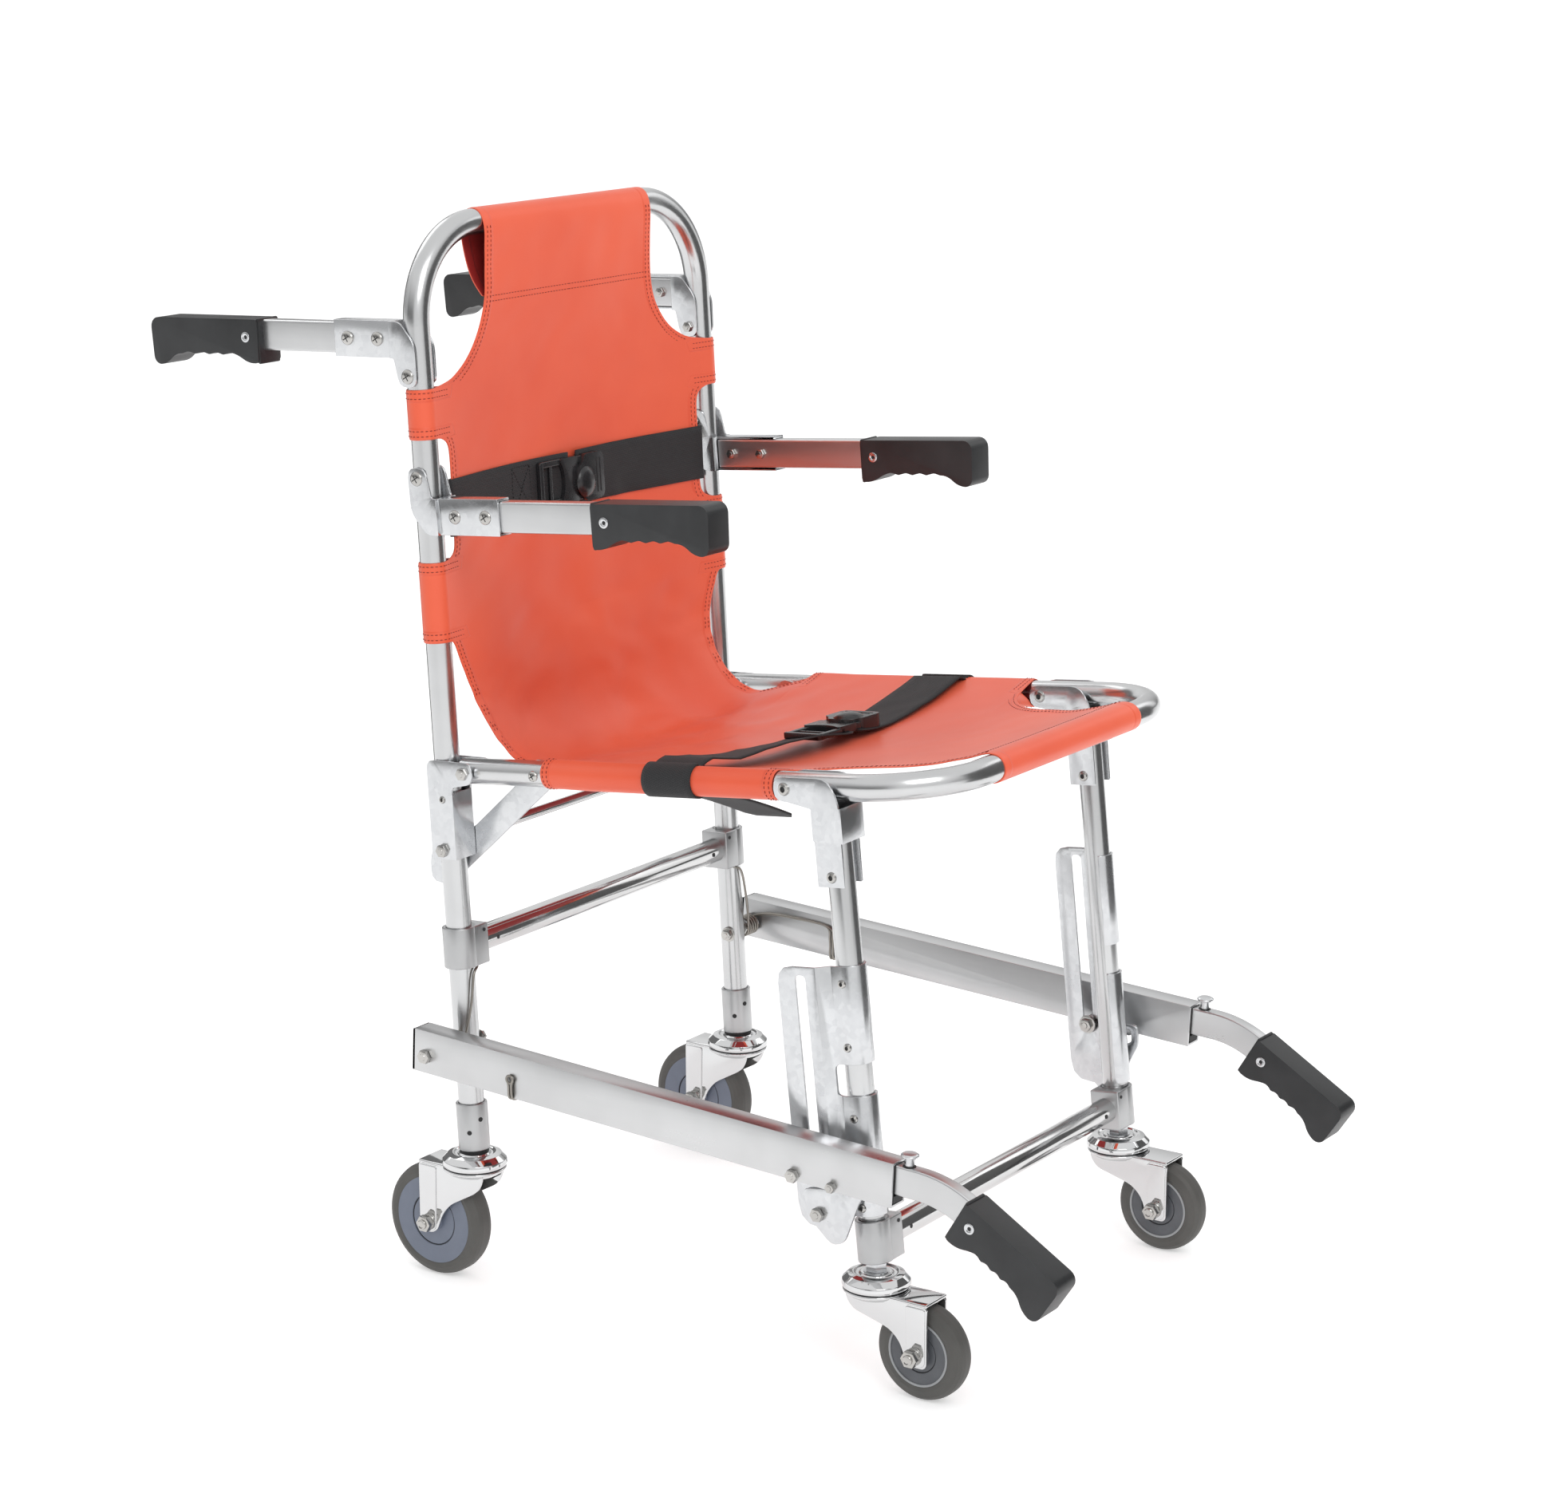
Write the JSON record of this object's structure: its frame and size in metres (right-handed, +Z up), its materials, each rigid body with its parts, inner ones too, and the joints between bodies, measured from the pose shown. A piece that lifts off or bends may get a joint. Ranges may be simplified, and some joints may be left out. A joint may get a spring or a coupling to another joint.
{
  "type": "stair chair",
  "caption": "Folding evacuation chair with a fabric sling on tube frames, swivel casters, pull-out lift handles, folding rear handles and armrests, and belts.",
  "frame": {"origin": "middle of the overall box at floor level", "axes": "+Z up, the sitter faces -Y, +X is the sitter's left"},
  "size_m": [0.514, 0.9372, 0.9138],
  "materials": {
    "satin_tube": "satin anodised",
    "polished_tube": "polished",
    "zinc_plate": "bright zinc",
    "cast_clamp": "bare casting",
    "black_plastic": "matt",
    "black_webbing": "woven",
    "orange_sling": "coated cloth, semi-gloss",
    "caster_tyre": "matt grey"
  },
  "bodies": {
    "chair_back": {"back_frame": "satin_tube", "rear_crossbar": "polished_tube", "rear_clamp_right": "cast_clamp", "rear_clamp_left": "cast_clamp", "rear_leg_sleeve_right": "cast_clamp", "rear_leg_sleeve_left": "cast_clamp", "corner_bracket_right": "zinc_plate", "corner_bracket_left": "zinc_plate", "sling_back": "orange_sling", "chest_belt": "black_webbing", "chest_buckle": "black_plastic"},
    "seat": {"seat_frame": "satin_tube", "seat_bracket_right": "zinc_plate", "seat_bracket_left": "zinc_plate", "sling_seat": "orange_sling", "lap_belt": "black_webbing", "lap_buckle": "black_plastic"},
    "front_legs": {"front_leg_right": "satin_tube", "front_leg_left": "satin_tube", "leg_channel_right": "zinc_plate", "leg_channel_left": "zinc_plate", "slot_plate_right": "zinc_plate", "slot_plate_left": "zinc_plate", "front_clamp_right": "cast_clamp", "front_clamp_left": "cast_clamp", "front_crossbar": "polished_tube"},
    "seat_lock": {"lock_brace_right": "zinc_plate", "lock_brace_left": "zinc_plate", "lock_rod": "polished_tube"},
    "beam_right": {"side_beam_right": "satin_tube"},
    "pull_handle_right": {"handle_bar_right": "satin_tube", "lower_grip_right": "black_plastic"},
    "handle_button_right": {"push_button_right": "zinc_plate"},
    "latch_hook_right": {"latch_right": "zinc_plate"},
    "rear_handle_right": {"rear_handle_bracket_right": "zinc_plate", "rear_handle_arm_right": "satin_tube", "rear_handle_grip_right": "black_plastic"},
    "armrest_right": {"armrest_bracket_right": "zinc_plate", "armrest_arm_right": "satin_tube", "armrest_grip_right": "black_plastic"},
    "rear_caster_right": {"rear_fork_right": "polished_tube"},
    "rear_roller_right": {"rear_wheel_right": "caster_tyre"},
    "front_caster_right": {"front_fork_right": "polished_tube"},
    "front_roller_right": {"front_wheel_right": "caster_tyre"},
    "beam_left": {"side_beam_left": "satin_tube"},
    "pull_handle_left": {"handle_bar_left": "satin_tube", "lower_grip_left": "black_plastic"},
    "handle_button_left": {"push_button_left": "zinc_plate"},
    "latch_hook_left": {"latch_left": "zinc_plate"},
    "rear_handle_left": {"rear_handle_bracket_left": "zinc_plate", "rear_handle_arm_left": "satin_tube", "rear_handle_grip_left": "black_plastic"},
    "armrest_left": {"armrest_bracket_left": "zinc_plate", "armrest_arm_left": "satin_tube", "armrest_grip_left": "black_plastic"},
    "rear_caster_left": {"rear_fork_left": "polished_tube"},
    "rear_roller_left": {"rear_wheel_left": "caster_tyre"},
    "front_caster_left": {"front_fork_left": "polished_tube"},
    "front_roller_left": {"front_wheel_left": "caster_tyre"}
  },
  "joints": [
    {"name": "seat_fold", "type": "hinge", "parent": "chair_back", "child": "seat", "pos_m": [0, 0.1353, 0.455], "axis": [-1, 0, 0], "range_deg": [0, 80]},
    {"name": "front_leg_fold", "type": "hinge", "parent": "seat", "child": "front_legs", "pos_m": [0, -0.1897, 0.4874], "axis": [-1, 0, 0], "range_deg": [-77, 0]},
    {"name": "seat_lock_release", "type": "hinge", "parent": "chair_back", "child": "seat_lock", "pos_m": [0, 0.1603, 0.381], "axis": [1, 0, 0], "range_deg": [0, 20], "stiffness_Nm_per_rad": 1.2, "springref_deg": -20.05},
    {"name": "beam_fold_right", "type": "hinge", "parent": "chair_back", "child": "beam_right", "pos_m": [-0.243, 0.1493, 0.217], "axis": [-1, 0, 0], "range_deg": [0, 83]},
    {"name": "pull_handle_slide_right", "type": "slide", "parent": "beam_right", "child": "pull_handle_right", "axis": [0, -0.9986, -0.0534], "range_m": [0, 0.15]},
    {"name": "button_press_right", "type": "slide", "parent": "pull_handle_right", "child": "handle_button_right", "axis": [0, 0.0534, -0.9986], "range_m": [0, 0.003], "stiffness_N_per_m": 400, "springref_m": -0.003},
    {"name": "latch_release_right", "type": "hinge", "parent": "front_legs", "child": "latch_hook_right", "pos_m": [-0.222, -0.2277, 0.145], "axis": [1, 0, 0], "range_deg": [0, 20], "stiffness_Nm_per_rad": 0.4, "springref_deg": -17.19},
    {"name": "rear_handle_fold_right", "type": "hinge", "parent": "chair_back", "child": "rear_handle_right", "pos_m": [-0.198, 0.1837, 0.784], "axis": [-1, 0, 0], "range_deg": [0, 86]},
    {"name": "armrest_fold_right", "type": "hinge", "parent": "chair_back", "child": "armrest_right", "pos_m": [-0.198, 0.1773, 0.7], "axis": [-1, 0, 0], "range_deg": [0, 88.5]},
    {"name": "rear_caster_swivel_right", "type": "hinge", "parent": "chair_back", "child": "rear_caster_right", "pos_m": [-0.198, 0.14371, 0.1028], "axis": [0, 0, 1], "continuous": true},
    {"name": "rear_wheel_roll_right", "type": "hinge", "parent": "rear_caster_right", "child": "rear_roller_right", "pos_m": [-0.198, 0.18271, 0.0503], "axis": [1, 0, 0], "continuous": true},
    {"name": "front_caster_swivel_right", "type": "hinge", "parent": "front_legs", "child": "front_caster_right", "pos_m": [-0.198, -0.26697, 0.0828], "axis": [0, 0, 1], "continuous": true},
    {"name": "front_wheel_roll_right", "type": "hinge", "parent": "front_caster_right", "child": "front_roller_right", "pos_m": [-0.198, -0.31297, 0.0403], "axis": [1, 0, 0], "continuous": true},
    {"name": "beam_fold_left", "type": "hinge", "parent": "chair_back", "child": "beam_left", "pos_m": [0.243, 0.1493, 0.217], "axis": [-1, 0, 0], "range_deg": [0, 83]},
    {"name": "pull_handle_slide_left", "type": "slide", "parent": "beam_left", "child": "pull_handle_left", "axis": [0, -0.9986, -0.0534], "range_m": [0, 0.15]},
    {"name": "button_press_left", "type": "slide", "parent": "pull_handle_left", "child": "handle_button_left", "axis": [0, 0.0534, -0.9986], "range_m": [0, 0.003], "stiffness_N_per_m": 400, "springref_m": -0.003},
    {"name": "latch_release_left", "type": "hinge", "parent": "front_legs", "child": "latch_hook_left", "pos_m": [0.222, -0.2277, 0.145], "axis": [1, 0, 0], "range_deg": [0, 20], "stiffness_Nm_per_rad": 0.4, "springref_deg": -17.19},
    {"name": "rear_handle_fold_left", "type": "hinge", "parent": "chair_back", "child": "rear_handle_left", "pos_m": [0.198, 0.1837, 0.784], "axis": [-1, 0, 0], "range_deg": [0, 86]},
    {"name": "armrest_fold_left", "type": "hinge", "parent": "chair_back", "child": "armrest_left", "pos_m": [0.198, 0.1773, 0.7], "axis": [-1, 0, 0], "range_deg": [0, 88.5]},
    {"name": "rear_caster_swivel_left", "type": "hinge", "parent": "chair_back", "child": "rear_caster_left", "pos_m": [0.198, 0.14371, 0.1028], "axis": [0, 0, 1], "continuous": true},
    {"name": "rear_wheel_roll_left", "type": "hinge", "parent": "rear_caster_left", "child": "rear_roller_left", "pos_m": [0.198, 0.18271, 0.0503], "axis": [1, 0, 0], "continuous": true},
    {"name": "front_caster_swivel_left", "type": "hinge", "parent": "front_legs", "child": "front_caster_left", "pos_m": [0.198, -0.26697, 0.0828], "axis": [0, 0, 1], "continuous": true},
    {"name": "front_wheel_roll_left", "type": "hinge", "parent": "front_caster_left", "child": "front_roller_left", "pos_m": [0.198, -0.31297, 0.0403], "axis": [1, 0, 0], "continuous": true}
  ],
  "couplings": [
    {"joint": "front_leg_fold", "follows": "seat_fold", "ratio": -0.95},
    {"joint": "beam_fold_right", "follows": "seat_fold", "ratio": 1.0325},
    {"joint": "armrest_fold_right", "follows": "seat_fold", "ratio": 1.1},
    {"joint": "beam_fold_left", "follows": "seat_fold", "ratio": 1.0325},
    {"joint": "armrest_fold_left", "follows": "seat_fold", "ratio": 1.1}
  ]
}
